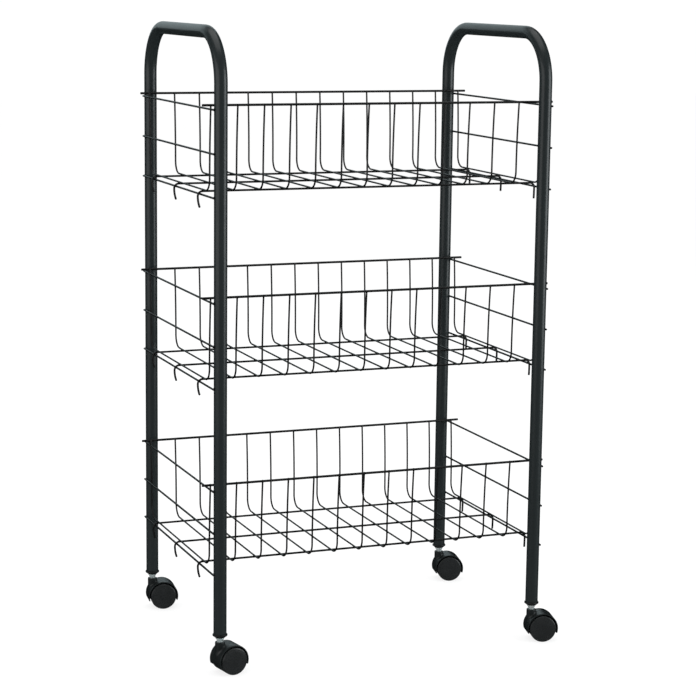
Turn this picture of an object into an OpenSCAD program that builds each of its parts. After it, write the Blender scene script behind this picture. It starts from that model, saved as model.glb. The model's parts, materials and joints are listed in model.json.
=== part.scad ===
// Rolling utility cart: two bent tube end frames, three wire baskets hooked between
// them, and four hooded twin-wheel swivel casters. Millimetres, +Z up. The origin is on
// the floor, midway between the four legs. +X runs along the baskets, -Y is the front.

/* [End frames] */
// Spacing of the two end frames, tube centre to tube centre, along X
frame_w = 420; // [360:1:480]
// Spacing of the two legs of one end frame, tube centre to tube centre, along Y
frame_d = 296; // [260:1:340]
// Outside diameter of the frame tube
tube_d = 16; // [14:0.5:20]
// Wall thickness of the frame tube
tube_wall = 1.0; // [0.8:0.1:1.5]
// Height of the handle's centreline above the floor
handle_z = 773; // [740:1:820]
// Centreline radius of the two bends of the handle
handle_bend_r = 60; // [45:1:80]
// Height of the cut lower end of each leg
leg_foot_z = 50.5; // [50:0.5:60]
// Diameter of the guard wires welded across the end frames
guard_wire_d = 2.5; // [2:0.1:3]
// Vertical spacing of the guard wires beside one basket
guard_pitch = 51.5; // [46:0.5:54]
// Number of guard wires beside one basket
guard_count = 3; // [2:1:3]
// How far a guard wire runs on past the centre of the leg
guard_overrun = 3; // [2:0.5:6]

/* [Baskets] */
// Height of the lowest basket's lowest guard wire
tier_z0 = 125; // [115:1:140]
// Vertical spacing of the baskets
tier_pitch = 228; // [220:1:234]
// Diameter of the two rim wires
rim_d = 3.0; // [2.5:0.1:4]
// How far a rim wire reaches beyond the middle of the leg
rim_overhang = 18; // [14:1:24]
// Height of the rim wires above the top guard wire
rim_lift = 4.5; // [3:0.5:8]
// Diameter of the bent rib wires
rib_d = 2.0; // [1.6:0.1:2.4]
// Number of ribs in a basket
rib_count = 14; // [10:1:16]
// How far the end ribs lie beyond the middle of the leg
rib_overhang = 6.5; // [4:0.5:6.5]
// Distance of the foot of a rib's wall from the middle of the basket
rib_foot_y = 125.5; // [118:0.5:127]
// Centreline radius of a rib's two lower corners
rib_corner_r = 15; // [10:1:20]
// Radius of the gentle outward flare of a rib's walls
rib_wall_r = 900; // [600:50:1500]
// Diameter of the floor wires that carry the ribs
floor_wire_d = 2.6; // [2.2:0.1:3]
// Distance of the outer floor wires from the middle of the basket
floor_wire_y = 98; // [80:1:105]
// Centreline radius of the hooks at the ends of the floor wires
hook_r = 6; // [5:0.5:8]
// Length of the straight tail of a hook
hook_tail = 14; // [10:1:16]
// Radius of the inward curl of the tails at the left end, which grip the guard wire
hook_curl_left = 40; // [30:5:300]
// Radius of the inward curl of the tails at the right end, which drop over the guard wire
hook_curl_right = 300; // [30:5:300]

/* [Casters] */
// Diameter of the caster wheels
wheel_d = 34; // [33:1:36]
// Distance of the axle behind the swivel stem
trail = 13; // [12:0.5:14]
// Width of the wheel's body from its inner face to the edge of its outer face
wheel_w = 13.3; // [12.6:0.1:13.8]
// Thickness of the hood's web between the two wheels
web_t = 3.0; // [2.5:0.1:4]
// Outside radius of the hood's fender around the wheels
hood_r = 20; // [19.6:0.1:21]
// Width of the fender, a little less than over the faces of the two wheels
hood_w = 26.8; // [26:0.2:28]
// Height of the fender's lips above the floor
lip_z = 11; // [9:0.5:13]
// Height of the top of the hood's boss
boss_top_z = 40.6; // [40.2:0.1:41.2]
// Diameter of the hood's boss around the stem
boss_d = 12.2; // [12:0.1:14]
// Diameter of the stem in the leg
stem_d = 8; // [7:0.1:9]
// Diameter of the axle pin
axle_d = 5; // [4:0.1:5.5]
// Turn of the front left caster about its stem, 0 trails towards +X
yaw_front_left = 11; // [-180:1:180]
// Turn of the front right caster about its stem
yaw_front_right = -13; // [-180:1:180]
// Turn of the rear left caster about its stem
yaw_rear_left = -7; // [-180:1:180]
// Turn of the rear right caster about its stem
yaw_rear_right = -12; // [-180:1:180]

/* [Hidden] */
$fn = 72;
TIERS = ["bottom", "middle", "top"];
SIDES = ["left", "right"];
// Each leg and its caster: name, X side, Y side, turn of the caster
CORNERS = [
    ["front_left", -1, -1, yaw_front_left],
    ["front_right", 1, -1, yaw_front_right],
    ["rear_left", -1, 1, yaw_rear_left],
    ["rear_right", 1, 1, yaw_rear_right]
];
BASKET_PARTS = [
    "front_rim", "rear_rim", "ribs", "front_floor_wire", "middle_floor_wire", "rear_floor_wire"
];
CASTER_PARTS = ["leg_plug", "stem", "grip_ring", "hood", "axle", "wheel_front", "wheel_rear"];

tube_r = tube_d / 2;
bore_r = tube_r - tube_wall;
// How far a welded wire sinks into what it is welded to
weld = 0.25;
guard_x = frame_w / 2 + tube_r + guard_wire_d / 2 - weld;
// Clearance between a hook and the guard wire that it hangs on
hook_gap = 0.05;
// The guard wire sits halfway round the bend of a hook, this far across and down
hook_seat = (hook_r - floor_wire_d / 2 - guard_wire_d / 2 - hook_gap) * sin(45);
floor_wire_lift = hook_r - hook_seat;
rib_lift = floor_wire_lift + floor_wire_d / 2 + rib_d / 2 - weld;
rim_z = (guard_count - 1) * guard_pitch + rim_lift;
rib_top_z = rim_z + rim_d / 3;
rib_pitch = (frame_w + 2 * rib_overhang) / (rib_count - 1);
// A rib's wall rises this far from its corner and flares out to the rim
rib_rise = rib_top_z - rib_lift - rib_corner_r;
rib_top_y = rib_foot_y + rib_wall_r - sqrt(rib_wall_r * rib_wall_r - rib_rise * rib_rise);
// The rim wires are welded to the outside of the ribs
rim_y = rib_top_y + rib_d / 2 + rim_d / 2 - weld;

wheel_r = wheel_d / 2;
// Gap between the hood's web and a wheel
wheel_gap = 0.4;
wheel_inner_y = web_t / 2 + wheel_gap;
// Depth of the recess in the wheel's inner face
recess = wheel_w - 3.8;
// Bevel round the edge of the wheel's outer face
bevel = 1.3;
// Rise of the wheel's domed cap above its outer face
cap_rise = 0.8;
pocket_r = wheel_r + 1.5;
boss_foot_z = 24;
chamfer = 0.8;
stem_foot_z = 35.2;
shank_r = 3.5;
collar_foot_z = boss_top_z + 0.4;
// The collar's cone starts here and widens to the radius collar_r
cone_foot_z = 42.2;
collar_r = 5.5;
collar_top_z = 46;
stem_top_z = 80;
plug_flange_t = 2.2;
plug_top_z = 86;
ring_z = 68;
ring_h = 2;
// Running clearance of the stem in the hood and of the wheels on the axle
running = 0.06;

// A straight rod along Z from z0 to z1
module rod(r, z0, z1) {
    translate([0, 0, z0])
        cylinder(r = r, h = z1 - z0);
}

// A straight round wire of diameter d, h long, centred on the origin along Y
module wire_y(d, h) {
    rotate([90, 0, 0])
        cylinder(d = d, h = h, center = true);
}

// A round bend in the YZ plane. Its centre is the origin. It starts on the +Y axis and
// turns towards +Z through the angle.
module bend_yz(centre_r, wire_r, angle) {
    rotate([90, 0, 90])
        rotate_extrude(angle = angle)
            translate([centre_r, 0])
                circle(r = wire_r);
}

// A hollow bend of a tube, in the same plane
module tube_bend_yz(centre_r, outer_r, inner_r, angle) {
    rotate([90, 0, 90])
        rotate_extrude(angle = angle)
            translate([centre_r, 0])
                difference() {
                    circle(r = outer_r);
                    circle(r = inner_r);
                }
}

// A straight length of hollow tube along Z, from the origin up
module tube_length(outer_r, inner_r, h) {
    difference() {
        cylinder(r = outer_r, h = h);
        translate([0, 0, -1])
            cylinder(r = inner_r, h = h + 2);
    }
}

// ---- End frames ----

// The bent tube of one end frame: two legs, two bends and the handle
module frame_tube(side_x) {
    bend_z = handle_z - handle_bend_r;
    bend_y = frame_d / 2 - handle_bend_r;
    color("#2b2f31")
        translate([side_x * frame_w / 2, 0, 0])
            union() {
                for (s = [-1, 1]) {
                    translate([0, s * frame_d / 2, leg_foot_z])
                        tube_length(tube_r, bore_r, bend_z - leg_foot_z);
                    translate([0, s * bend_y, bend_z])
                        rotate([0, 0, s > 0 ? 0 : 180])
                            tube_bend_yz(handle_bend_r, tube_r, bore_r, 90);
                }
                translate([0, bend_y, handle_z])
                    rotate([90, 0, 0])
                        tube_length(tube_r, bore_r, 2 * bend_y);
            }
}

// The guard wires beside one basket, on the outside of one end frame
module guard_wires(side_x, tier_z) {
    color("#1b1c1d")
        for (i = [0 : guard_count - 1])
            translate([side_x * guard_x, 0, tier_z + i * guard_pitch])
                wire_y(guard_wire_d, frame_d + 2 * guard_overrun);
}

// ---- Baskets ----

// One straight rim wire along X
module basket_rim(side_y, tier_z) {
    color("#1b1c1d")
        translate([0, side_y * rim_y, tier_z + rim_z])
            rotate([0, 90, 0])
                cylinder(d = rim_d, h = frame_w + 2 * rim_overhang, center = true);
}

// Half of a rib on the +Y side: half of its floor, a corner and a wall that flares
// gently outward up to the rim
module half_rib() {
    corner_y = rib_foot_y - rib_corner_r;
    rotate([-90, 0, 0])
        cylinder(d = rib_d, h = corner_y);
    translate([0, corner_y, rib_corner_r])
        rotate([-90, 0, 0])
            bend_yz(rib_corner_r, rib_d / 2, 90);
    translate([0, rib_foot_y + rib_wall_r, rib_corner_r])
        mirror([0, 1, 0])
            bend_yz(rib_wall_r, rib_d / 2, asin(rib_rise / rib_wall_r));
}

// The ribs of one basket, each a wire bent up at the front and at the rear
module basket_ribs(tier_z) {
    color("#1b1c1d")
        for (i = [0 : rib_count - 1])
            translate([i * rib_pitch - frame_w / 2 - rib_overhang, 0, tier_z + rib_lift])
                union() {
                    half_rib();
                    mirror([0, 1, 0])
                        half_rib();
                }
}

// Half of a floor wire along +X, with the hook that hangs on the guard wire and the
// hook's tail, which curls inward on the radius curl_r
module half_floor_wire(curl_r) {
    bend_x = guard_x - hook_seat;
    rotate([0, 90, 0])
        cylinder(d = floor_wire_d, h = bend_x);
    translate([bend_x, 0, -hook_r])
        rotate([0, 0, -90])
            bend_yz(hook_r, floor_wire_d / 2, 90);
    translate([bend_x + hook_r - curl_r, 0, -hook_r])
        mirror([0, 0, 1])
            rotate([0, 0, -90])
                bend_yz(curl_r, floor_wire_d / 2, hook_tail / curl_r * 180 / PI);
}

// One floor wire with a hook at each end
module basket_floor_wire(y, tier_z) {
    color("#1b1c1d")
        translate([0, y, tier_z + floor_wire_lift])
            union() {
                half_floor_wire(hook_curl_right);
                mirror([1, 0, 0])
                    half_floor_wire(hook_curl_left);
            }
}

// ---- Casters ----

// Moves a part from the stem's axis at the origin to its leg
module at_corner(c) {
    translate([c[1] * frame_w / 2, c[2] * frame_d / 2, 0])
        children();
}

// Moves and turns a part that swivels with the caster
module on_caster(c) {
    at_corner(c)
        rotate([0, 0, c[3]])
            children();
}

// Plastic plug in the end of a leg, with a flange and a tapered nose
module leg_plug(c) {
    flange_z = leg_foot_z - plug_flange_t;
    color("#202224")
        at_corner(c)
            difference() {
                union() {
                    rod(bore_r - 0.05, leg_foot_z, plug_top_z);
                    rod(tube_r + 1.2, flange_z, leg_foot_z - 0.02);
                    translate([0, 0, collar_top_z + 0.2])
                        cylinder(r1 = tube_r - 1.8, r2 = tube_r + 0.6,
                            h = flange_z - collar_top_z - 0.2);
                    rod(bore_r - 0.05, leg_foot_z - 1, leg_foot_z + 1);
                }
                rod(stem_d / 2 + 0.05, collar_top_z - 1, plug_top_z + 1);
                // groove that the grip ring snaps into
                rod(stem_d / 2 + 0.7, ring_z - 0.4, ring_z + ring_h + 0.4);
            }
}

// Zinc stem with its conical collar, ring groove and the neck that the hood turns on
module stem(c) {
    color("#c9ccd0")
        at_corner(c)
            difference() {
                union() {
                    rod(stem_d / 2, collar_top_z - 0.5, stem_top_z);
                    rod(collar_r, collar_top_z - chamfer, collar_top_z);
                    translate([0, 0, cone_foot_z])
                        cylinder(r1 = shank_r + 0.2, r2 = collar_r,
                            h = collar_top_z - chamfer - cone_foot_z);
                    rod(shank_r + 0.2, collar_foot_z, cone_foot_z);
                    rod(shank_r, stem_foot_z, collar_foot_z + 1);
                    // lead-in at the top of the stem
                    translate([0, 0, stem_top_z])
                        cylinder(r1 = stem_d / 2, r2 = stem_d / 2 - 1.5, h = 2.5);
                }
                ring_groove(ring_z - 0.1, ring_h + 0.2, stem_d / 2 - 0.6);
                ring_groove(stem_foot_z + 1.6, 1.2, shank_r - 0.6);
            }
}

// Ring-shaped cut around a shaft, from z0 up by h, down to the radius floor_r
module ring_groove(z0, h, floor_r) {
    translate([0, 0, z0])
        rotate_extrude()
            translate([floor_r, 0])
                square([stem_d, h]);
}

// Split spring ring that holds the stem in the plug
module grip_ring(c) {
    gap_angle = 30;
    color("#b6babf")
        at_corner(c)
            translate([0, 0, ring_z])
                rotate_extrude(angle = 360 - gap_angle)
                    translate([stem_d / 2 - 0.5, 0])
                        square([1.1, ring_h]);
}

// Places its children on the axle's axis, with the axle along Z
module on_axle() {
    translate([trail, 0, wheel_r])
        rotate([90, 0, 0])
            children();
}

// Hood: fender over both wheels, web between them, and the boss around the stem
module hood(c) {
    color("#202224")
        on_caster(c)
            difference() {
                union() {
                    on_axle()
                        cylinder(r = hood_r, h = hood_w, center = true);
                    rod(boss_d / 2, boss_foot_z, boss_top_z - chamfer);
                    translate([0, 0, boss_top_z - chamfer])
                        cylinder(r1 = boss_d / 2, r2 = boss_d / 2 - chamfer, h = chamfer);
                }
                for (s = [-1, 1])
                    on_axle()
                        translate([0, 0, s * (web_t / 2 + hood_w / 2)])
                            cylinder(r = pocket_r, h = hood_w, center = true);
                // open underside
                translate([trail - 2 * hood_r, -hood_w, -hood_r])
                    cube([4 * hood_r, 2 * hood_w, lip_z + hood_r]);
                // bore for the stem, with the rib left that snaps into its groove
                difference() {
                    rod(shank_r + running, stem_foot_z - 0.3, boss_top_z + 1);
                    ring_groove(stem_foot_z + 1.9, 0.6, shank_r - 0.4);
                }
                on_axle()
                    cylinder(r = axle_d / 2 + 0.02, h = hood_w, center = true);
            }
}

// Axle pin pressed into the hood's web
module axle(c) {
    color("#c9ccd0")
        on_caster(c)
            on_axle()
                cylinder(d = axle_d, h = 2 * (wheel_inner_y + wheel_w - 1.8), center = true);
}

// One wheel on side -1, the front, or 1, the rear: hub, rim, domed cap and blind bore
module wheel(c, side) {
    bore = axle_d / 2 + running;
    color("#1c1d1f")
        on_caster(c)
            on_axle()
                rotate([side > 0 ? 180 : 0, 0, 0])
                    translate([0, 0, wheel_inner_y])
                        rotate_extrude()
                            polygon([
                                [bore, 0],
                                [bore + 2.2, 0],
                                [bore + 2.6, 0.4],
                                [bore + 2.6, recess],
                                [wheel_r - 2.6, recess],
                                [wheel_r - 2.2, 0],
                                [wheel_r - chamfer, 0],
                                [wheel_r, chamfer],
                                [wheel_r, wheel_w - bevel],
                                [wheel_r - 0.4, wheel_w - 0.4],
                                [wheel_r - bevel, wheel_w],
                                [wheel_r * 0.55, wheel_w + cap_rise * 0.7],
                                [0, wheel_w + cap_rise],
                                [0, wheel_w - 1.3],
                                [bore, wheel_w - 1.3]
                            ]);
}

// ---- Assembly ----

module basket_part(part, tier_z) {
    if (part == "front_rim") basket_rim(-1, tier_z);
    if (part == "rear_rim") basket_rim(1, tier_z);
    if (part == "ribs") basket_ribs(tier_z);
    if (part == "front_floor_wire") basket_floor_wire(-floor_wire_y, tier_z);
    if (part == "middle_floor_wire") basket_floor_wire(0, tier_z);
    if (part == "rear_floor_wire") basket_floor_wire(floor_wire_y, tier_z);
}

module caster_part(part, c) {
    if (part == "leg_plug") leg_plug(c);
    if (part == "stem") stem(c);
    if (part == "grip_ring") grip_ring(c);
    if (part == "hood") hood(c);
    if (part == "axle") axle(c);
    if (part == "wheel_front") wheel(c, -1);
    if (part == "wheel_rear") wheel(c, 1);
}

for (side = [0, 1])
    frame_tube(2 * side - 1);

for (side = [0, 1], tier = [0 : 2])
    guard_wires(2 * side - 1, tier_z0 + tier * tier_pitch);

for (tier = [0 : 2], part = BASKET_PARTS)
    basket_part(part, tier_z0 + tier * tier_pitch);

for (corner = CORNERS, part = CASTER_PARTS)
    caster_part(part, corner);
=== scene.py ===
"""Looks for the rolling utility cart: coated tubes and wires, weld fillets, moulded casters
and a studio.

Shapes are worked out in millimetres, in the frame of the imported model, and become metres in
make_piece().
"""

import json
import math

import bpy
import numpy as np
from mathutils import Matrix, Vector


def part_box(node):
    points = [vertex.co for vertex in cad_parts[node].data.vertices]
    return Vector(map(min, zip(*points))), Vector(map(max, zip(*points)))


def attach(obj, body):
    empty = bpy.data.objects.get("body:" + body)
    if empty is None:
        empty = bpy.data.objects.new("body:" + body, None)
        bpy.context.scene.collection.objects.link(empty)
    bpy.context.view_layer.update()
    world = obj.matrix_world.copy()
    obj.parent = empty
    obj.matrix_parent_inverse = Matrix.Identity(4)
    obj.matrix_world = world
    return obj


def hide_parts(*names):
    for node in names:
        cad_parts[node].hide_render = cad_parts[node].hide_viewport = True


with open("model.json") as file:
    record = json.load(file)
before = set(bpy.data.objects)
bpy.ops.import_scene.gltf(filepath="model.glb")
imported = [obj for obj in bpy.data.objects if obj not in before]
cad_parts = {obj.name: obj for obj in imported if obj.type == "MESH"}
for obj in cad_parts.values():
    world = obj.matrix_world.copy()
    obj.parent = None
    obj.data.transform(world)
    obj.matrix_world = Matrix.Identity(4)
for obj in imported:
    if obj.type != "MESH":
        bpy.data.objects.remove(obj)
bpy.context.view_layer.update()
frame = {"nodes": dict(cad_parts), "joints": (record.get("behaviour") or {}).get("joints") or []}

MM = 0.001
SIDES = ("left", "right")
TIERS = ("bottom", "middle", "top")
CORNERS = ("front_left", "front_right", "rear_left", "rear_right")
CART = "cart"
X_AXIS, Y_AXIS, Z_AXIS = (1, 0, 0), (0, 1, 0), (0, 0, 1)

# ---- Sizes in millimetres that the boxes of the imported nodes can't tell ----
# Heights (_Z) are above the floor. Weld fillets are half sizes along X, Y and Z.

# End frames
TUBE_R = 8.0
TUBE_WALL = 1.0
TUBE_EDGE = 0.25
HANDLE_BEND_R = 60.0
GUARD_WELD = (0.75, 2.6, 2.1)

# Baskets
RIB_D = 2.0
RIB_COUNT = 14
RIB_CORNER_R = 15.0
RIB_WALL_R = 900.0
RIB_FOOT_Y = 125.5
# The powder coat runs a little thicker on the thin ribs
RIB_COAT = 0.1
FLOOR_WIRE_D = 2.6
HOOK_R = 6.0
HOOK_TAIL = 14.0
HOOK_CURL_LEFT = 40.0
HOOK_CURL_RIGHT = 300.0
WELD_SINK = 0.25
RIM_WELD = (1.55, 0.65, 1.35)
FLOOR_WELD = (1.45, 1.35, 0.6)

# Plug and stem
LEG_FOOT_Z = 50.5
FLANGE_TOP_Z = LEG_FOOT_Z - 0.02
FLANGE_LOW_Z = 48.4
NOSE_TOP_Z = 48.3
NOSE_FOOT_Z = 46.2
FLANGE_OVERHANG = 1.15
SLEEVE_TOP_Z = 86.0
PLUG_GAP = 0.05
STEM_R = 4.0
STEM_TOP_Z = 82.5
STEM_SHOULDER_Z = 80.0
COLLAR_R = 5.5
COLLAR_TOP_Z = 46.0
CONE_TOP_Z = 45.2
CONE_FOOT_Z = 42.2
NECK_TOP_Z = 41.0
SHANK_TOP_Z = 40.9
SHANK_FOOT_Z = 35.2
SHANK_R = 3.5

# Hood
TRAIL = 13.0
HOOD_R = 20.0
HOOD_HALF_W = 13.4
POCKET_R = 18.5
WEB_HALF_T = 1.5
LIP_Z = 11.0
BOSS_R = 6.1
BOSS_FOOT_Z = 22.0
BOSS_TOP_Z = 40.6
BOSS_FILLET = 2.4
STEM_BORE_Z = 35.0
RUNNING_GAP = 0.06
PRESSED_GAP = 0.02
# Radii of the hood's moulded edges
FENDER_EDGE = 0.6
BOSS_EDGE = 0.8
POCKET_EDGE = 0.5
LIP_EDGE = 0.7
STEM_BORE_EDGE = 0.3
AXLE_BORE_EDGE = 0.2

# Wheels
WHEEL_R = 17.0
WHEEL_W = 13.3
WHEEL_INNER_Y = 1.9
AXLE_R = 2.5
WHEEL_RECESS = 3.8
WHEEL_SKIN = 1.3
# The hub and the tread are thinner at the mouth of the recess than at its root
WALL_AT_MOUTH = 2.2
WALL_AT_ROOT = 2.6

# Turned outlines stop this short of their axis, so that every ring is a true loop
PINHOLE_R = 0.02


def box_mm(node):
    """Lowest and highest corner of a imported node, in millimetres."""
    low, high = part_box(node)
    return np.array(low) / MM, np.array(high) / MM


# ---- Meshes ----

TUBE_SIDES = 40
CORNER_STEPS = 4
WELD_SEGMENTS = 12
WELD_BANDS = 6
SHARP_FROM = math.radians(40.0)


class Shape:
    """Points and faces that grow part by part and become one piece."""

    def __init__(self):
        self.points = []
        self.faces = []
        self.count = 0

    def add(self, points, faces):
        """Adds points of shape (n, 3) and faces that index them."""
        self.points.append(np.asarray(points, float).reshape(-1, 3))
        self.faces += [tuple(int(i) + self.count for i in face) for face in faces]
        self.count += len(self.points[-1])

    def add_rings(self, rings, closed_loop=False):
        """Skins rings of equal length in order.

        The ends are capped unless the rings close on themselves.
        """
        rings = np.asarray(rings, float)
        total, sides = rings.shape[:2]
        steps = total if closed_loop else total - 1
        faces = []
        for i in range(steps):
            low, high = i * sides, (i + 1) % total * sides
            for j in range(sides):
                k = (j + 1) % sides
                faces.append((low + j, low + k, high + k, high + j))
        if not closed_loop:
            faces.append(tuple(reversed(range(sides))))
            faces.append(tuple(range((total - 1) * sides, total * sides)))
        self.add(rings.reshape(-1, 3), faces)


def make_piece(name, shape, material, body, place=None):
    """Turns a shape in millimetres into a smooth-shaded object that rides on a body.

    The place moves the mesh and not the object, so that the object's box stays tight.
    """
    mesh = bpy.data.meshes.new(name)
    mesh.from_pydata((np.vstack(shape.points) * MM).tolist(), [], shape.faces)
    mesh.validate()
    if place is not None:
        mesh.transform(place)
    mesh.materials.append(material)
    mesh.shade_smooth()
    mesh.set_sharp_from_angle(angle=SHARP_FROM)
    piece = bpy.data.objects.new(name, mesh)
    bpy.context.scene.collection.objects.link(piece)
    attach(piece, body)
    return piece


def even_turn(segments):
    """Angles that go evenly round a circle, without coming back to the first."""
    return np.linspace(0, 2 * math.pi, segments, endpoint=False)


def arc(centre, start_deg, end_deg, radius, steps):
    """Points on an arc in a plane, as an array of (across, up)."""
    angles = np.radians(np.linspace(start_deg, end_deg, steps + 1))
    across = centre[0] + radius * np.cos(angles)
    up = centre[1] + radius * np.sin(angles)
    return np.stack([across, up], 1)


def spaced(start, end, steps):
    """Points on a straight line, ends included."""
    share = np.linspace(0, 1, steps + 1)[:, None]
    return np.asarray(start, float) * (1 - share) + np.asarray(end, float) * share


def side_directions(path, normal):
    """The direction square to a path at each point, in the plane with that normal."""
    ahead = np.diff(path, axis=0)
    ahead /= np.linalg.norm(ahead, axis=1, keepdims=True)
    tangents = np.vstack([ahead[:1], ahead[:-1] + ahead[1:], ahead[-1:]])
    tangents /= np.linalg.norm(tangents, axis=1, keepdims=True)
    return np.cross(tangents, normal)


def tube_rings(path, radii, normal, sides):
    """Rings round a path in the plane with that normal, with one radius or one per point."""
    path, normal = np.asarray(path, float), np.asarray(normal, float)
    radii = np.broadcast_to(np.asarray(radii, float), len(path))
    across = side_directions(path, normal)
    turn = even_turn(sides)
    circle = np.stack([np.cos(turn), np.sin(turn)], 1)
    around = circle[None, :, :1] * across[:, None, :] + circle[None, :, 1:] * normal
    return path[:, None, :] + radii[:, None, None] * around


# A coated cut end: distance back from the end and share of the radius, both in radii
END_STEPS = ((0.0, 0.55), (0.08, 0.8), (0.3, 0.96), (0.6, 1.0))


def add_wire(shape, path, radius, normal, sides=14):
    """A solid round wire along a path, with its cut ends rounded by the coating."""
    path = np.asarray(path, float)
    first = (path[1] - path[0]) / np.linalg.norm(path[1] - path[0])
    last = (path[-1] - path[-2]) / np.linalg.norm(path[-1] - path[-2])
    head = [path[0] + first * back * radius for back, _ in END_STEPS]
    tail = [path[-1] - last * back * radius for back, _ in reversed(END_STEPS)]
    shares = [share for _, share in END_STEPS]
    points = np.vstack([head, path[1:-1], tail])
    radii = radius * np.array(shares + [1.0] * (len(path) - 2) + shares[::-1])
    shape.add_rings(tube_rings(points, radii, normal, sides))


def add_weld(shape, centre, half_sizes):
    """A smooth weld fillet, as an ellipsoid along the axes."""
    turn = even_turn(WELD_SEGMENTS)
    rings = []
    for i in range(1, WELD_BANDS):
        height = math.cos(math.pi * i / WELD_BANDS)
        width = math.sin(math.pi * i / WELD_BANDS)
        level = np.full(WELD_SEGMENTS, height)
        ring = np.stack([width * np.cos(turn), width * np.sin(turn), level], 1)
        rings.append(np.asarray(centre) + ring * np.asarray(half_sizes))
    shape.add_rings(rings[::-1])


def round_corners(points):
    """A closed outline of (across, up, corner radius) with each corner rounded."""
    count, outline = len(points), []
    for i in range(count):
        here = np.array(points[i][:2], float)
        radius = points[i][2]
        back = np.array(points[i - 1][:2], float) - here
        ahead = np.array(points[(i + 1) % count][:2], float) - here
        if radius <= 0:
            outline.append(here)
            continue
        back_length, ahead_length = np.linalg.norm(back), np.linalg.norm(ahead)
        back, ahead = back / back_length, ahead / ahead_length
        half = math.acos(max(-1.0, min(1.0, float(back @ ahead)))) / 2
        # a corner takes just under half of either side, so that two never meet
        reach = min(radius / math.tan(half), 0.49 * back_length, 0.49 * ahead_length)
        radius = reach * math.tan(half)
        middle = here + (back + ahead) / np.linalg.norm(back + ahead) * radius / math.sin(half)
        first, last = here + back * reach - middle, here + ahead * reach - middle
        start = math.atan2(first[1], first[0])
        sweep = (math.atan2(last[1], last[0]) - start + math.pi) % (2 * math.pi) - math.pi
        for k in range(CORNER_STEPS + 1):
            angle = start + sweep * k / CORNER_STEPS
            outline.append(middle + radius * np.array([math.cos(angle), math.sin(angle)]))
    return np.array(outline)


def turned_solid(points, segments=64):
    """Revolves a closed outline of (radius, height, corner radius) about the Z axis."""
    outline = round_corners(points)
    radius, height = outline[:, 0], outline[:, 1]
    rings = []
    for angle in even_turn(segments):
        rings.append(np.stack([radius * math.cos(angle), radius * math.sin(angle), height], 1))
    shape = Shape()
    shape.add_rings(rings, closed_loop=True)
    return shape


# ---- Solid blending, for the moulded hoods ----

# How the points of a surface net settle: the number of pulls, how far apart the slope is
# measured and the longest pull, both in grid steps, and the least slope, squared
NET_PULLS = 3
SLOPE_REACH = 0.05
LONGEST_PULL = 0.5
SLOPE_FLOOR = 0.25


def smooth_union(a, b, blend):
    """Joins two distance fields with a fillet."""
    share = np.clip(0.5 + 0.5 * (b - a) / blend, 0, 1)
    return b * (1 - share) + a * share - blend * share * (1 - share)


def smooth_cut(a, b, blend):
    """Cuts the solid b out of the solid a, with a rounded edge."""
    return -smooth_union(-a, b, blend)


def rounded_slab(across, along, half_across, half_along, edge):
    """Distance to a slab with rounded edges, from its half sizes in two directions."""
    q_across, q_along = across - (half_across - edge), along - (half_along - edge)
    outside = np.hypot(np.maximum(q_across, 0), np.maximum(q_along, 0))
    return outside + np.minimum(np.maximum(q_across, q_along), 0) - edge


def surface_net(distance, low, high, step):
    """Points and quads on the surface where a distance field is zero, in a box of cubes."""
    low = np.asarray(low, float)
    counts = np.ceil((np.asarray(high, float) - low) / step).astype(int) + 1
    axes = [low[i] + step * np.arange(counts[i]) for i in range(3)]
    grid = np.stack(np.meshgrid(*axes, indexing="ij"), -1)
    value = distance(grid[..., 0], grid[..., 1], grid[..., 2])
    inside = value < 0
    corners = [(i, j, k) for i in (0, 1) for j in (0, 1) for k in (0, 1)]

    def cells(array, corner):
        """What the array holds at one corner of every cube."""
        spans = (slice(first, size - 1 + first) for first, size in zip(corner, array.shape))
        return array[tuple(spans)]

    filled = sum(cells(inside, c).astype(int) for c in corners)
    crossed = (filled > 0) & (filled < 8)
    number = np.full(crossed.shape, -1)
    number[crossed] = np.arange(crossed.sum())
    total, weight = np.zeros((crossed.sum(), 3)), np.zeros((crossed.sum(), 1))
    for a in corners:
        for b in corners:
            if sum(abs(p - q) for p, q in zip(a, b)) != 1 or a > b:
                continue
            va, vb = cells(value, a)[crossed], cells(value, b)[crossed]
            pa, pb = (cells(grid, c)[crossed] for c in (a, b))
            cut = (va < 0) != (vb < 0)
            share = np.where(cut, va / np.where(cut, va - vb, 1), 0)[:, None]
            total += np.where(cut[:, None], pa * (1 - share) + pb * share, 0)
            weight += cut[:, None]
    points = total / weight
    for _ in range(NET_PULLS):
        points = pull_to_surface(distance, points, step)
    faces = []
    for axis in range(3):
        faces += net_faces(inside, number, axis)
    return points, faces


def pull_to_surface(distance, points, step):
    """Moves points along the field's slope towards its zero surface."""
    reach = SLOPE_REACH * step
    here = distance(*points.T)
    slope = np.zeros_like(points)
    for axis in range(3):
        shift = np.zeros(3)
        shift[axis] = reach
        rise = distance(*(points + shift).T) - distance(*(points - shift).T)
        slope[:, axis] = rise / (2 * reach)
    square = np.maximum((slope**2).sum(1), SLOPE_FLOOR)
    move = -(here / square)[:, None] * slope
    length = np.linalg.norm(move, axis=1, keepdims=True)
    return points + move * np.minimum(1, LONGEST_PULL * step / np.maximum(length, 1e-9))


def net_faces(inside, number, axis):
    """The quads of a surface net that cross the grid's edges along one axis."""
    inside = np.moveaxis(inside, axis, 0)
    number = np.moveaxis(number, axis, 0)
    start, end = inside[:-1, 1:-1, 1:-1], inside[1:, 1:-1, 1:-1]
    quads = []
    for leaving in (True, False):
        edge = (start & ~end) if leaving else (~start & end)
        i, j, k = np.nonzero(edge)
        steps = ((0, 0), (1, 0), (1, 1), (0, 1))
        loop = [number[i, j + right, k + up] for right, up in steps]
        # moving axis 1 to the front swaps the other two, which turns the loop over
        if leaving == (axis == 1):
            loop.reverse()
        quads.append(np.stack(loop, 1))
    return np.vstack(quads).tolist()


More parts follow.
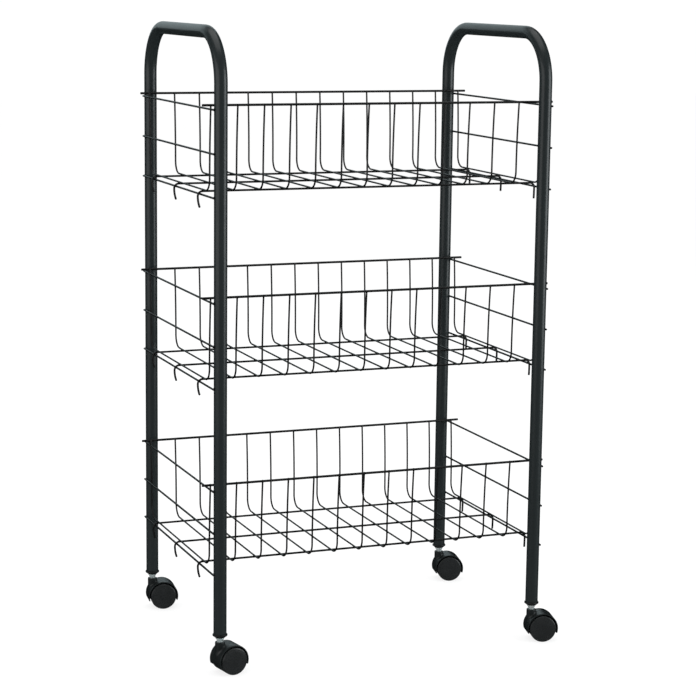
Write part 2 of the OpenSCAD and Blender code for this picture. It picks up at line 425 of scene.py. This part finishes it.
# ---- Materials ----

# Noise scales, in cells per metre
COAT_DRIFT, COAT_MOTTLE, COAT_PEEL, COAT_FINE = 9.0, 160.0, 750.0, 2600.0
PLASTIC_FLOW, PLASTIC_SCUFF, PLASTIC_GRAIN = 70.0, 420.0, 3200.0
ZINC_TINT, ZINC_MARKS, MARKS_SQUEEZE = 120.0, 420.0, 14.0
PAPER_TONE = 3.0
# Bump depths, in metres
PEEL_DEPTH = 0.0002
FINE_DEPTH = 0.0001
# The stretch of a noise that is spread over the whole of an output
WIDE, NARROW = (0.3, 0.7), (0.35, 0.65)


class Nodes:
    """A short way to write a node tree: nodes by type, settings by name, links by socket."""

    def __init__(self, tree):
        self.tree = tree
        tree.nodes.clear()

    def feed(self, socket, value):
        """Links an output to an input socket, or sets the socket's own value."""
        if isinstance(value, bpy.types.NodeSocket):
            self.tree.links.new(value, socket)
        else:
            socket.default_value = value

    def new(self, kind, inputs=None, **settings):
        """A node with its inputs by socket name, each a value or an output to link."""
        node = self.tree.nodes.new(kind)
        for name, value in settings.items():
            setattr(node, name, value)
        for name, value in (inputs or {}).items():
            self.feed(node.inputs[name], value)
        return node

    def noise(self, coordinates, scale, detail=2.0, roughness=0.5):
        inputs = {
            "Vector": coordinates,
            "Scale": scale,
            "Detail": detail,
            "Roughness": roughness,
        }
        return self.new("ShaderNodeTexNoise", inputs).outputs["Fac"]

    def remap(self, value, stretch, low=0.0, high=1.0):
        """Spreads a stretch of the value's range over low to high."""
        inputs = {
            "Value": value,
            "From Min": stretch[0],
            "From Max": stretch[1],
            "To Min": low,
            "To Max": high,
        }
        return self.new("ShaderNodeMapRange", inputs).outputs["Result"]

    def mix(self, share, a, b):
        """Mixes two colours, or two values."""
        node = self.new("ShaderNodeMix", data_type="RGBA")
        # the node's sockets for colours go by number, as their names repeat
        for index, value in ((0, share), (6, a), (7, b)):
            self.feed(node.inputs[index], value)
        return node.outputs[2]

    def bump(self, height, strength, distance, normal=None):
        inputs = {"Height": height, "Strength": strength, "Distance": distance}
        if normal is not None:
            inputs["Normal"] = normal
        return self.new("ShaderNodeBump", inputs).outputs["Normal"]


def new_material(name):
    """A material, its node tree, and the coordinates of the object that it is on."""
    material = bpy.data.materials.new(name)
    material.use_nodes = True
    nodes = Nodes(material.node_tree)
    coordinates = nodes.new("ShaderNodeTexCoord").outputs["Object"]
    return material, nodes, coordinates


def finish_material(nodes, inputs):
    """Ends a material with its surface shader and the output."""
    shader = nodes.new("ShaderNodeBsdfPrincipled", inputs)
    nodes.new("ShaderNodeOutputMaterial", {"Surface": shader.outputs["BSDF"]})


def rgba(colour):
    return (*colour, 1.0)


def grey(level):
    return (level, level, level, 1.0)


def powder_coat(name, colour, shade, roughness, peel):
    """Satin powder coat: a fine orange peel, with slight changes of depth and gloss."""
    material, nodes, coordinates = new_material(name)
    drift = nodes.noise(coordinates, COAT_DRIFT, 3.0)
    mottle = nodes.noise(coordinates, COAT_MOTTLE, 3.0, 0.6)
    blotch = nodes.remap(nodes.mix(0.35, drift, mottle), WIDE)
    base = nodes.mix(blotch, rgba(colour), rgba(shade))
    fine = nodes.noise(coordinates, COAT_FINE, 2.0, 0.6)
    unevenness = nodes.mix(0.5, mottle, fine)
    gloss = nodes.remap(unevenness, WIDE, roughness - 0.05, roughness + 0.06)
    waves = nodes.noise(coordinates, COAT_PEEL, 1.0)
    normal = nodes.bump(waves, peel, PEEL_DEPTH)
    normal = nodes.bump(fine, 0.3 * peel, FINE_DEPTH, normal)
    finish_material(nodes, {"Base Color": base, "Roughness": gloss, "Normal": normal})
    return material


def moulded_plastic(name, colour, shade, roughness, grain):
    """Injection-moulded plastic: fine spark-eroded grain and a faint flow of tone."""
    material, nodes, coordinates = new_material(name)
    flow = nodes.noise(coordinates, PLASTIC_FLOW, 2.0)
    base = nodes.mix(nodes.remap(flow, NARROW), rgba(colour), rgba(shade))
    texture = nodes.noise(coordinates, PLASTIC_GRAIN, 2.0, 0.7)
    scuff = nodes.noise(coordinates, PLASTIC_SCUFF, 4.0, 0.65)
    gloss = nodes.remap(scuff, WIDE, roughness - 0.06, roughness + 0.08)
    normal = nodes.bump(texture, grain, FINE_DEPTH)
    finish_material(nodes, {"Base Color": base, "Roughness": gloss, "Normal": normal})
    return material


def zinc_plate(name, colour, shade):
    """Bright zinc plate: metal with a faint cool tint, turning marks and uneven gloss."""
    material, nodes, coordinates = new_material(name)
    tint = nodes.noise(coordinates, ZINC_TINT, 3.0)
    base = nodes.mix(nodes.remap(tint, NARROW), rgba(colour), rgba(shade))
    squeeze = {"Vector": coordinates, "Scale": (1.0, 1.0, MARKS_SQUEEZE)}
    squeezed = nodes.new("ShaderNodeMapping", squeeze).outputs["Vector"]
    marks = nodes.noise(squeezed, ZINC_MARKS, 2.0)
    inputs = {
        "Base Color": base,
        # less than bare metal, as the studio holds little for it to mirror
        "Metallic": 0.6,
        "Roughness": nodes.remap(tint, WIDE, 0.16, 0.3),
        "Normal": nodes.bump(marks, 0.15, FINE_DEPTH),
    }
    finish_material(nodes, inputs)
    return material


def floor_paper(name):
    """Plain pale studio floor with a trace of tone.

    Most of its white is a glow, so that it stays white under little light from above.
    """
    material, nodes, coordinates = new_material(name)
    tone = nodes.noise(coordinates, PAPER_TONE, 2.0)
    inputs = {
        "Base Color": nodes.mix(tone, grey(0.205), grey(0.195)),
        "Roughness": 0.9,
        "Specular IOR Level": 0.0,
        "Emission Color": grey(1.0),
        "Emission Strength": 0.8,
    }
    finish_material(nodes, inputs)
    return material


FRAME_COAT = powder_coat(
    "frame_powder_coat",
    colour=(0.0153, 0.0203, 0.0212),
    shade=(0.0126, 0.0170, 0.0178),
    roughness=0.30,
    peel=0.12,
)
WIRE_COAT = powder_coat(
    "wire_powder_coat",
    colour=(0.0048, 0.0052, 0.0052),
    shade=(0.0038, 0.0042, 0.0042),
    roughness=0.40,
    peel=0.08,
)
HOOD_PLASTIC = moulded_plastic(
    "hood_plastic",
    colour=(0.0096, 0.0128, 0.0131),
    shade=(0.0077, 0.0102, 0.0106),
    roughness=0.36,
    grain=0.10,
)
WHEEL_PLASTIC = moulded_plastic(
    "wheel_plastic",
    colour=(0.0158, 0.0175, 0.0180),
    shade=(0.0128, 0.0143, 0.0148),
    roughness=0.28,
    grain=0.06,
)
PLUG_PLASTIC = moulded_plastic(
    "plug_plastic",
    colour=(0.0075, 0.0090, 0.0093),
    shade=(0.0060, 0.0072, 0.0075),
    roughness=0.40,
    grain=0.08,
)
ZINC = zinc_plate("zinc_plate", colour=(0.74, 0.80, 0.80), shade=(0.58, 0.70, 0.70))


# ---- End frames ----


def make_frame_tube(side):
    """The bent tube of one end frame, hollow, with its cut lower edges broken.

    Returns its X, and the Y and the radius of its legs.
    """
    node = f"{side}_frame_tube"
    low, high = box_mm(node)
    x, radius = (low[0] + high[0]) / 2, (high[0] - low[0]) / 2
    leg_y, foot_z, top_z = high[1] - radius, low[2], high[2] - radius
    bend_y, bend_z = leg_y - HANDLE_BEND_R, top_z - HANDLE_BEND_R
    outline = np.vstack(
        [
            spaced((-leg_y, foot_z), (-leg_y, bend_z), 12)[:-1],
            arc((-bend_y, bend_z), 180, 90, HANDLE_BEND_R, 20)[:-1],
            spaced((-bend_y, top_z), (bend_y, top_z), 6)[:-1],
            arc((bend_y, bend_z), 90, 0, HANDLE_BEND_R, 20)[:-1],
            spaced((leg_y, bend_z), (leg_y, foot_z), 12),
        ]
    )
    path = np.column_stack([np.full(len(outline), x), outline])
    walls = path.copy()
    walls[[0, -1], 2] += TUBE_EDGE
    outer = tube_rings(walls, radius, X_AXIS, TUBE_SIDES)
    inner = tube_rings(walls, radius - TUBE_WALL, X_AXIS, TUBE_SIDES)
    outer_lip = tube_rings(path, radius - TUBE_EDGE, X_AXIS, TUBE_SIDES)
    inner_lip = tube_rings(path, radius - TUBE_WALL + TUBE_EDGE, X_AXIS, TUBE_SIDES)
    outside = [outer_lip[:1], outer, outer_lip[-1:]]
    inside = [inner_lip[-1:], inner[::-1], inner_lip[:1]]
    shape = Shape()
    shape.add_rings(np.concatenate(outside + inside), closed_loop=True)
    piece = make_piece(f"{side}_bent_tube", shape, FRAME_COAT, CART)
    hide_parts(node)
    return x, leg_y, radius


def make_guard_wires(side, tier, leg_x, leg_y, tube_r):
    """The wires beside one basket, with the weld fillets that hold them to the legs."""
    node = f"{side}_{tier}_guard_wires"
    low, high = box_mm(node)
    x, radius = (low[0] + high[0]) / 2, (high[0] - low[0]) / 2
    weld_x = leg_x + math.copysign(tube_r, x)
    shape = Shape()
    for z in np.linspace(low[2] + radius, high[2] - radius, 3):
        path = spaced((x, low[1], z), (x, high[1], z), 8)
        add_wire(shape, path, radius, X_AXIS, 16)
        for y in (-leg_y, leg_y):
            add_weld(shape, (weld_x, y, z), GUARD_WELD)
    piece = make_piece(f"{side}_{tier}_guard_rods", shape, WIRE_COAT, CART)
    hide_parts(node)


# ---- Baskets ----


def make_rim(tier, side):
    """One straight rim wire. Returns its centre and its radius."""
    node = f"{tier}_basket_{side}_rim"
    low, high = box_mm(node)
    centre, radius = (low + high) / 2, (high[2] - low[2]) / 2
    shape = Shape()
    ends = [(x, centre[1], centre[2]) for x in (low[0], high[0])]
    add_wire(shape, spaced(*ends, 12), radius, Z_AXIS, 18)
    piece = make_piece(f"{tier}_{side}_rim_wire", shape, WIRE_COAT, CART)
    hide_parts(node)
    return centre, radius


def rib_path(x, floor_z, top_z):
    """The centreline of a rib, from its front tip down, along the floor and up again."""
    corner_y = RIB_FOOT_Y - RIB_CORNER_R
    corner_z = floor_z + RIB_CORNER_R
    flare = math.degrees(math.asin((top_z - corner_z) / RIB_WALL_R))
    wall = arc((RIB_FOOT_Y + RIB_WALL_R, corner_z), 180 - flare, 180, RIB_WALL_R, 6)
    corner = arc((corner_y, corner_z), 0, -90, RIB_CORNER_R, 10)
    half = np.vstack([wall, corner[1:]])
    front = half * (-1, 1)
    outline = np.vstack([front[:-1], spaced(front[-1], half[-1], 6)[:-1], half[::-1]])
    return np.column_stack([np.full(len(outline), x), outline])


def make_ribs(tier, rims, floor_wires):
    """The bent ribs of one basket, with a weld fillet at each crossing."""
    node = f"{tier}_basket_ribs"
    low, high = box_mm(node)
    radius = RIB_D / 2
    floor_z, top_z = low[2] + radius, high[2]
    shape = Shape()
    for x in np.linspace(low[0] + radius, high[0] - radius, RIB_COUNT):
        add_wire(shape, rib_path(x, floor_z, top_z), radius + RIB_COAT, X_AXIS)
        for centre, rim_r in rims:
            weld_y = math.copysign(abs(centre[1]) - rim_r + WELD_SINK / 2, centre[1])
            add_weld(shape, (x, weld_y, centre[2]), RIM_WELD)
        for y, wire_z, wire_r in floor_wires:
            add_weld(shape, (x, y, wire_z + wire_r - WELD_SINK / 2), FLOOR_WELD)
    piece = make_piece(f"{tier}_rib_wires", shape, WIRE_COAT, CART)
    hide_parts(node)


def make_floor_wire(tier, place):
    """One floor wire with its two hooks. Returns its Y, its height and its radius."""
    node = f"{tier}_basket_{place}_floor_wire"
    low, high = box_mm(node)
    y, radius = (low[1] + high[1]) / 2, FLOOR_WIRE_D / 2
    z = high[2] - radius
    reach = {-1: low[0] + radius, 1: high[0] - radius}
    halves = {}
    for sign, curl in ((-1, HOOK_CURL_LEFT), (1, HOOK_CURL_RIGHT)):
        bend_x = abs(reach[sign]) - HOOK_R
        bend = arc((bend_x, z - HOOK_R), 90, 0, HOOK_R, 10)
        swing = math.degrees(HOOK_TAIL / curl)
        tail = arc((bend_x + HOOK_R - curl, z - HOOK_R), 0, -swing, curl, 6)
        halves[sign] = np.vstack([bend, tail[1:]]) * (sign, 1)
    middle = spaced(halves[-1][0], halves[1][0], 14)
    outline = np.vstack([halves[-1][::-1], middle[1:-1], halves[1]])
    path = np.column_stack([outline[:, 0], np.full(len(outline), y), outline[:, 1]])
    shape = Shape()
    add_wire(shape, path, radius, Y_AXIS, 16)
    piece = make_piece(f"{tier}_{place}_hook_wire", shape, WIRE_COAT, CART)
    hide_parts(node)
    return y, z, radius


def make_basket(tier):
    """The rims, floor wires and ribs of one basket."""
    rims = [make_rim(tier, side) for side in ("front", "rear")]
    floor_wires = [make_floor_wire(tier, place) for place in ("front", "middle", "rear")]
    make_ribs(tier, rims, floor_wires)


# ---- Casters ----
# In a caster's own frame the stem is the Z axis, and the wheels trail towards +X.


def hood_distance(x, y, z):
    """Distance field of a hood: fender and boss, less the wheels' room and the bores."""
    side = np.abs(y)
    from_axle = np.hypot(x - TRAIL, z - WHEEL_R)
    from_stem = np.hypot(x, y)
    fender = rounded_slab(from_axle, side, HOOD_R, HOOD_HALF_W, FENDER_EDGE)
    boss_middle = (BOSS_FOOT_Z + BOSS_TOP_Z) / 2
    boss_half = BOSS_TOP_Z - boss_middle
    boss = rounded_slab(from_stem, np.abs(z - boss_middle), BOSS_R, boss_half, BOSS_EDGE)
    body = smooth_union(fender, boss, BOSS_FILLET)
    pocket = np.maximum(from_axle - POCKET_R, WEB_HALF_T - side)
    body = smooth_cut(body, pocket, POCKET_EDGE)
    body = smooth_cut(body, z - LIP_Z, LIP_EDGE)
    stem_bore = np.maximum(from_stem - SHANK_R - RUNNING_GAP, STEM_BORE_Z - z)
    body = smooth_cut(body, stem_bore, STEM_BORE_EDGE)
    return smooth_cut(body, from_axle - AXLE_R - PRESSED_GAP, AXLE_BORE_EDGE)


def hood_shape():
    """A hood, netted on a half-millimetre grid with a millimetre to spare all round."""
    shape = Shape()
    low = (TRAIL - HOOD_R - 1, -HOOD_HALF_W - 1, LIP_Z - 1)
    high = (TRAIL + HOOD_R + 1, HOOD_HALF_W + 1, BOSS_TOP_Z + 1)
    shape.add(*surface_net(hood_distance, low, high, 0.5))
    return shape


def wheel_shape():
    """One wheel in its own frame: the axle is the Z axis, and the outer face is on +Z."""
    bore, rim = AXLE_R + RUNNING_GAP, WHEEL_R
    start, face = WHEEL_INNER_Y, WHEEL_INNER_Y + WHEEL_W
    return turned_solid(
        [
            # the hub, the recess and the tread, from the inner side
            (bore, start, 0),
            (bore + WALL_AT_MOUTH, start, 0.3),
            (bore + WALL_AT_ROOT, face - WHEEL_RECESS, 0.5),
            (rim - WALL_AT_ROOT, face - WHEEL_RECESS, 0.5),
            (rim - WALL_AT_MOUTH, start, 0.3),
            (rim - 0.2, start, 0.6),
            (rim, start + 1.0, 0.5),
            # the bevel between the tread and the face
            (rim, face - 1.3, 0.7),
            (rim - 0.4, face - 0.4, 0.6),
            (rim - 1.3, face, 0.7),
            (rim - 2.0, face + 0.05, 0.5),
            # the crowned face, and the end of the blind bore behind it
            (rim * 0.75, face + 0.4, 4.0),
            (rim * 0.45, face + 0.7, 5.0),
            (PINHOLE_R, face + 0.8, 0),
            (PINHOLE_R, face - WHEEL_SKIN, 0),
            (bore, face - WHEEL_SKIN, 0),
        ],
        72,
    )


def plug_shape():
    """The plug in the end of a leg: its tapered nose, its flange and its sleeve."""
    bore, sleeve = STEM_R + PLUG_GAP, TUBE_R - TUBE_WALL - PLUG_GAP
    flange = TUBE_R + FLANGE_OVERHANG
    return turned_solid(
        [
            (bore, NOSE_FOOT_Z, 0.1),
            (TUBE_R - 1.8, NOSE_FOOT_Z, 0.4),
            (TUBE_R + 0.6, NOSE_TOP_Z, 0.3),
            (flange, FLANGE_LOW_Z, 0.3),
            (flange, FLANGE_TOP_Z, 0.6),
            (sleeve, FLANGE_TOP_Z, 0),
            (sleeve, SLEEVE_TOP_Z, 0.4),
            (bore, SLEEVE_TOP_Z, 0.2),
        ]
    )


def stem_shape():
    """The zinc stem, with its conical collar above the hood."""
    neck = SHANK_R + 0.2
    return turned_solid(
        [
            (PINHOLE_R, SHANK_FOOT_Z, 0),
            (SHANK_R, SHANK_FOOT_Z, 0.3),
            (SHANK_R, SHANK_TOP_Z, 0),
            (neck, NECK_TOP_Z, 0.1),
            (neck, CONE_FOOT_Z, 0.4),
            (COLLAR_R, CONE_TOP_Z, 0.3),
            (COLLAR_R, COLLAR_TOP_Z, 0.2),
            (STEM_R, COLLAR_TOP_Z, 0),
            (STEM_R, STEM_SHOULDER_Z, 0.2),
            (STEM_R - 1.5, STEM_TOP_Z, 0.3),
            (PINHOLE_R, STEM_TOP_Z, 0),
        ]
    )


def joint(name):
    """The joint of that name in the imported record."""
    return next(j for j in frame["joints"] if j["name"] == name)


def make_casters():
    """The plug, stem, hood and two wheels at each corner, turned as the record says."""
    hood_solid, wheel_solid = hood_shape(), wheel_shape()
    plug_solid, stem_solid = plug_shape(), stem_shape()
    axle_along_y = Matrix.Rotation(math.radians(90), 4, "X")
    for corner in CORNERS:
        swivel = Vector(joint(f"{corner}_swivel_turn")["pos_m"])
        axle = joint(f"{corner}_wheel_front_spin")["axis"]
        turn = math.atan2(-axle[0], axle[1])
        leg = Matrix.Translation((swivel.x, swivel.y, 0))
        caster = leg @ Matrix.Rotation(turn, 4, "Z")
        hub = caster @ Matrix.Translation((TRAIL * MM, 0, WHEEL_R * MM)) @ axle_along_y

        name = f"{corner}_foot_plug"
        plug = make_piece(name, plug_solid, PLUG_PLASTIC, CART, leg)
        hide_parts(f"{corner}_leg_plug")

        name = f"{corner}_swivel_stem"
        stem = make_piece(name, stem_solid, ZINC, CART, leg)
        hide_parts(f"{corner}_stem")

        name, body = f"{corner}_caster_hood", f"{corner}_swivel"
        hood = make_piece(name, hood_solid, HOOD_PLASTIC, body, caster)
        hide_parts(f"{corner}_hood")

        for side, facing in (("front", 0), ("rear", 180)):
            place = hub @ Matrix.Rotation(math.radians(facing), 4, "X")
            name, body = f"{corner}_{side}_roller", f"{corner}_{side}_wheel_body"
            wheel = make_piece(name, wheel_solid, WHEEL_PLASTIC, body, place)
            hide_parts(f"{corner}_wheel_{side}")


def plate_cad_nodes():
    """Gives the CAD nodes that are still in use, the axles and grip rings, their zinc."""
    for node in frame["nodes"].values():
        if not node.hide_render:
            node.data.materials.clear()
            node.data.materials.append(ZINC)


# ---- Studio ----

ROOM_LIGHT = 1.02
FLOOR_REACH = 12.0
FLOOR_STEPS = 4

CAMERA_POSITION = (-0.9687, -2.5021, 0.8336)
CAMERA_YAW = 21.37
CAMERA_PITCH = 9.858
CAMERA_ROLL = 0.701
CAMERA_LENS = 109.27
SENSOR_WIDTH = 36.0


def make_floor():
    """A wide pale floor at the wheels' feet, which gloss doesn't mirror."""
    mesh = bpy.data.meshes.new("studio_floor")
    line = np.linspace(-FLOOR_REACH, FLOOR_REACH, FLOOR_STEPS + 1)
    points = [(x, y, 0.0) for y in line for x in line]
    row = FLOOR_STEPS + 1
    faces = [
        (j * row + i, j * row + i + 1, (j + 1) * row + i + 1, (j + 1) * row + i)
        for j in range(FLOOR_STEPS)
        for i in range(FLOOR_STEPS)
    ]
    mesh.from_pydata(points, [], faces)
    mesh.materials.append(floor_paper("studio_floor"))
    floor = bpy.data.objects.new("studio_floor", mesh)
    bpy.context.scene.collection.objects.link(floor)
    floor.visible_glossy = False


def make_softbox(name, position, target, size, power, tint=(1.0, 1.0, 1.0)):
    """A rectangular area light, in watts, that faces a point and isn't seen itself."""
    light = bpy.data.lights.new(name, "AREA")
    light.shape = "RECTANGLE"
    light.size, light.size_y = size
    light.energy, light.color = power, tint
    box = bpy.data.objects.new(name, light)
    box.location = position
    box.rotation_mode = "QUATERNION"
    box.rotation_quaternion = (Vector(target) - Vector(position)).to_track_quat("-Z", "Y")
    box.visible_camera = False
    bpy.context.scene.collection.objects.link(box)


def make_world():
    """Even white light from all round. Gloss mirrors the softboxes, and not this."""
    world = bpy.data.worlds.new("studio_room")
    bpy.context.scene.world = world
    world.use_nodes = True
    nodes = Nodes(world.node_tree)
    light = {"Color": grey(1.0), "Strength": ROOM_LIGHT}
    room = nodes.new("ShaderNodeBackground", light)
    nodes.new("ShaderNodeOutputWorld", {"Surface": room.outputs[0]})
    world.cycles_visibility.glossy = False


def make_camera():
    """A camera at the photograph's viewing angle."""
    yaw, pitch, roll = (math.radians(a) for a in (CAMERA_YAW, CAMERA_PITCH, CAMERA_ROLL))
    level_right = Vector((math.cos(yaw), -math.sin(yaw), 0))
    level = math.cos(pitch)
    ahead = Vector((math.sin(yaw) * level, math.cos(yaw) * level, -math.sin(pitch)))
    level_up = level_right.cross(ahead)
    right = math.cos(roll) * level_right + math.sin(roll) * level_up
    up = math.cos(roll) * level_up - math.sin(roll) * level_right
    camera = bpy.data.objects.new("camera", bpy.data.cameras.new("camera"))
    camera.data.sensor_width = SENSOR_WIDTH
    camera.data.lens = CAMERA_LENS
    turn = Matrix((right, up, -ahead)).transposed().to_4x4()
    camera.matrix_world = Matrix.Translation(CAMERA_POSITION) @ turn
    bpy.context.scene.collection.objects.link(camera)
    bpy.context.scene.camera = camera


def make_studio():
    """The room, the floor and four softboxes."""
    make_world()
    make_floor()
    make_softbox("overhead", (0.0, 0.3, 3.2), (0, 0, 0), (3.0, 3.0), 30)
    cool = (0.94, 1.0, 1.02)
    make_softbox("right_side", (1.68, -1.2, 0.72), (0, 0, 0.3), (1.2, 1.4), 17, cool)
    make_softbox("left_side", (-2.1, -0.6, 0.82), (0, 0, 0.3), (2.4, 1.6), 12)
    # the tops of the handles mirror this one
    cooler = (0.84, 1.0, 1.04)
    make_softbox("rear", (0.15, 3.0, 1.7), (0, 0, 0.7), (3.4, 2.1), 18, cooler)
    bpy.context.scene.view_settings.view_transform = "Standard"


make_camera()
for tube_side in SIDES:
    tube_x, tube_y, tube_radius = make_frame_tube(tube_side)
    for basket_tier in TIERS:
        make_guard_wires(tube_side, basket_tier, tube_x, tube_y, tube_radius)
for basket_tier in TIERS:
    make_basket(basket_tier)
make_casters()
plate_cad_nodes()
make_studio()
